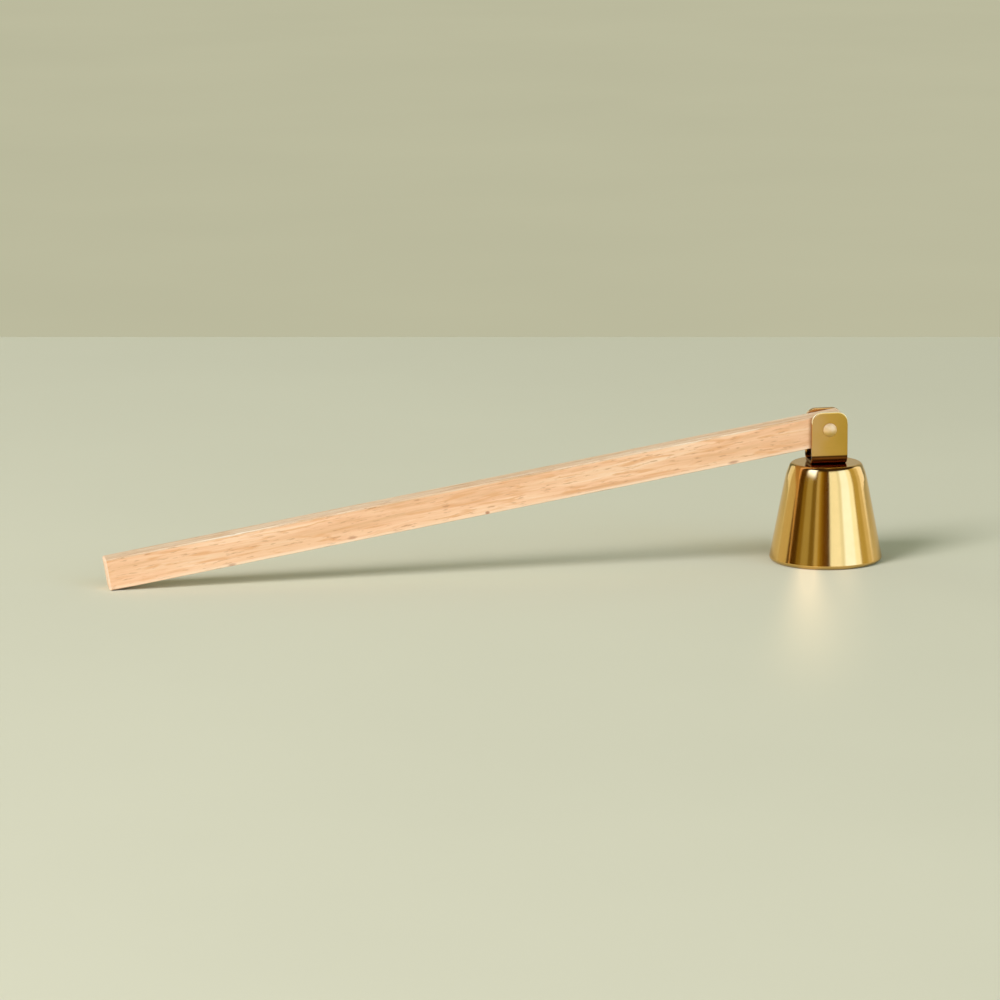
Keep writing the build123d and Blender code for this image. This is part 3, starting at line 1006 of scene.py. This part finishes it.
# Lamps: azimuth and elevation in degrees, width, height, watts and colour
LAMPS = {
    "soft_box": (-45, 38, 1.4, 1.9, 92, (1.0, 0.985, 1.08)),
    "soft_box_spread": (-45, 34, 2.6, 2.6, 26, (1.0, 0.98, 1.05)),
}
LAMP_DISTANCE = 3.5
LAMP_TARGET = Vector((-0.05, 0, 0.02))    # from the bell's foot


def add_lamp(name, azimuth, elevation, width, height, watts, colour):
    """Oval soft lamp; polished metal mirrors the studio's painted soft box and not this one."""
    data = bpy.data.lights.new(name, "AREA")
    data.shape = "ELLIPSE"
    data.size = width
    data.size_y = height
    data.energy = watts
    data.color = colour
    light = add_to_scene(name, data)
    towards = studio_direction(math.radians(azimuth), math.radians(elevation))
    light.location = bell_axis + LAMP_TARGET + towards * LAMP_DISTANCE
    light.rotation_mode = "QUATERNION"
    light.rotation_quaternion = towards.to_track_quat("Z", "Y")
    light.visible_glossy = False


# What stands round the table, by its left edge in degrees from the camera, positive to the right
STUDIO_WALLS = [
    (-180, (0.46, 0.44, 0.33)),      # room behind, left
    (-163, (0.17, 0.195, 0.135)),    # shaded corner
    (-142, (0.92, 1.00, 0.98)),      # bright doorway
    (-117, (0.62, 0.585, 0.40)),     # left screen
    (-88, (0.08, 0.04, 0.002)),      # dark gap
    (-64, (0.25, 0.185, 0.035)),     # curtain
    (-53, (0.42, 0.39, 0.19)),       # soft box's side
    (-37, (0.20, 0.15, 0.032)),      # curtain's fold
    (-25, (0.58, 0.55, 0.355)),      # door
    (-17, (0.41, 0.32, 0.068)),      # door's shaded side
    (-12, (0.245, 0.157, 0.018)),    # door's frame
    (-6, (0.14, 0.068, 0.003)),      # dark stand
    (3, (0.08, 0.035, 0.002)),       # window frame
    (9.8, (1.17, 1.46, 2.10)),       # window
    (34, (0.96, 1.20, 1.66)),        # window's far side
    (42, (1.29, 1.83, 3.40)),        # white card
    (66, (1.25, 1.57, 2.25)),        # card's far side
    (80, (0.54, 0.50, 0.22)),        # right wall
    (99, (0.74, 0.73, 0.55)),        # room behind, right
    (112, (1.12, 1.22, 1.40)),       # far lamp's glow
    (138, (0.28, 0.31, 0.25)),       # shaded corner
    (160, (0.46, 0.45, 0.34)),       # room behind
]
WALL_BLUR_DEGREES = 1.5
WALL_LIGHT = (1.07, 1.08, 0.84)  # how strongly they light the scene for how bright they look
WALL_TOP = math.radians(35)
WALL_TOP_BLUR = math.radians(10)
CEILING_IN_FRONT = (0.42, 0.43, 0.275)
CEILING_BEHIND = (0.10, 0.10, 0.07)
CEILING_TURN = (-0.2, 0.3)       # where it turns from one to the other, in shares towards the camera

# What polished metal mirrors there in place of the ceiling, and of the lamps
MIRRORED_TOP = math.radians(34)
MIRRORED_TOP_BLUR = math.radians(7)
MIRRORED_CEILING = (0.045, 0.03, 0.015)
SOFT_BOX_AZIMUTH = (-61, -32)    # where it mirrors the soft box's white front, in degrees
SOFT_BOX_HEIGHT = (26, 50)
SOFT_BOX_BLUR_DEGREES = 3.5
SOFT_BOX_GLARE = (2.0, 2.8, 5.8)


def wall_stops(start):
    """Stops of a colour ramp for the half of the walls that begins at an azimuth."""
    stops = []
    for (left, colour), (right, _) in zip(STUDIO_WALLS, STUDIO_WALLS[1:] + [(180, None)]):
        if left < start + 180 and right > start:
            for edge in (left + WALL_BLUR_DEGREES, right - WALL_BLUR_DEGREES):
                stops.append((min(1, max(0, (edge - start) / 180)), colour))
    return stops


def make_studio():
    """World that lights the table like a studio: walls, window and card all round, ceiling above."""
    world = bpy.data.worlds.new("studio")
    bpy.context.scene.world = world
    tree = Tree(world)
    direction = tree.add("ShaderNodeTexCoord").outputs["Generated"]
    sideways = tree.vector_math("DOT_PRODUCT", direction, studio_direction(math.pi / 2, 0))
    towards = tree.vector_math("DOT_PRODUCT", direction, studio_direction(0, 0))
    azimuth = tree.math("ARCTAN2", sideways, towards)
    height = tree.math("ARCSINE", tree.parts(direction)["Z"])

    halves = []
    for start in (-180, 0):
        share = tree.span(azimuth, math.radians(start), math.radians(start + 180))
        halves.append(tree.ramp(share, wall_stops(start)))
    walls = tree.mix(tree.math("GREATER_THAN", azimuth, 0.0), *halves)

    ceiling = tree.mix(tree.span(towards, *CEILING_TURN), CEILING_BEHIND, CEILING_IN_FRONT)
    above = tree.span(height, WALL_TOP, WALL_TOP + WALL_TOP_BLUR)
    lighting = tree.mix(above, tree.mix(1.0, walls, WALL_LIGHT, "MULTIPLY"), ceiling)

    over = tree.span(height, MIRRORED_TOP, MIRRORED_TOP + MIRRORED_TOP_BLUR)
    mirrored = tree.mix(over, walls, MIRRORED_CEILING)
    blur = math.radians(SOFT_BOX_BLUR_DEGREES)
    glare = 1.0
    for angle, (low, high) in ((azimuth, SOFT_BOX_AZIMUTH), (height, SOFT_BOX_HEIGHT)):
        middle, half = math.radians(low + high) / 2, math.radians(high - low) / 2
        apart = tree.math("ABSOLUTE", tree.math("SUBTRACT", angle, middle))
        glare = tree.math("MULTIPLY", tree.span(apart, half - blur, half + blur, 1.0, 0.0), glare)
    mirrored = tree.mix(glare, mirrored, SOFT_BOX_GLARE)

    # The camera sees a plain backdrop and polished metal the mirrored room
    path = tree.add("ShaderNodeLightPath").outputs
    room = tree.mix(path["Is Glossy Ray"], lighting, mirrored)
    colour = tree.mix(path["Is Camera Ray"], room, BACKGROUND)
    background = tree.add("ShaderNodeBackground", {"Color": colour})
    tree.add("ShaderNodeOutputWorld", {"Surface": background.outputs[0]})


def make_camera():
    """Camera with the photograph's view."""
    data = bpy.data.cameras.new("camera")
    data.lens = CAMERA_LENS
    data.sensor_width = CAMERA_SENSOR
    camera = add_to_scene("camera", data)
    place = bell_axis + studio_direction(0, CAMERA_ELEVATION) * CAMERA_DISTANCE
    turn = Matrix.Rotation(-CAMERA_HEADING, 4, "Z") @ Matrix.Rotation(math.pi / 2 + CAMERA_TILT, 4, "X")
    camera.matrix_world = Matrix.Translation(place) @ turn @ Matrix.Rotation(CAMERA_ROLL, 4, "Z")
    bpy.context.scene.camera = camera


bpy.context.scene.view_settings.view_transform = "Standard"
make_camera()
make_table()
make_studio()
for lamp, settings in LAMPS.items():
    add_lamp(lamp, *settings)

polished_brass = metal("polished_brass", BELL_TONES, roughness=0.10, rough_range=0.05,
                       waves=0.012 * MM, scratches=0.0006 * MM,
                       underside=(BELL_UNDERSIDE_SHADE, 0.6, 0.05, -0.3))
strap_brass = metal("strap_brass", STRAP_TONES, roughness=0.16, rough_range=0.08,
                    waves=0.01 * MM, scratches=0.002 * MM, strap_width=STRAP_TONE_WIDTH)
rivet_brass = metal("rivet_brass", RIVET_TONES, roughness=0.52, rough_range=0.08,
                    waves=0.02 * MM, scratches=0.004 * MM,
                    underside=(RIVET_UNDERSIDE_SHADE, 0.9, 0.0, -0.32), metallic=0.65)
plated_steel = metal("plated_steel", STEEL_TONES, roughness=0.28, rough_range=0.10,
                     waves=0.01 * MM, scratches=0.003 * MM)

make_bell(polished_brass)
make_strap(strap_brass)
make_stick(wood_side(), wood_end())
make_rivet(rivet_brass)
make_screw(plated_steel)
make_washer(plated_steel)
make_nut(plated_steel)
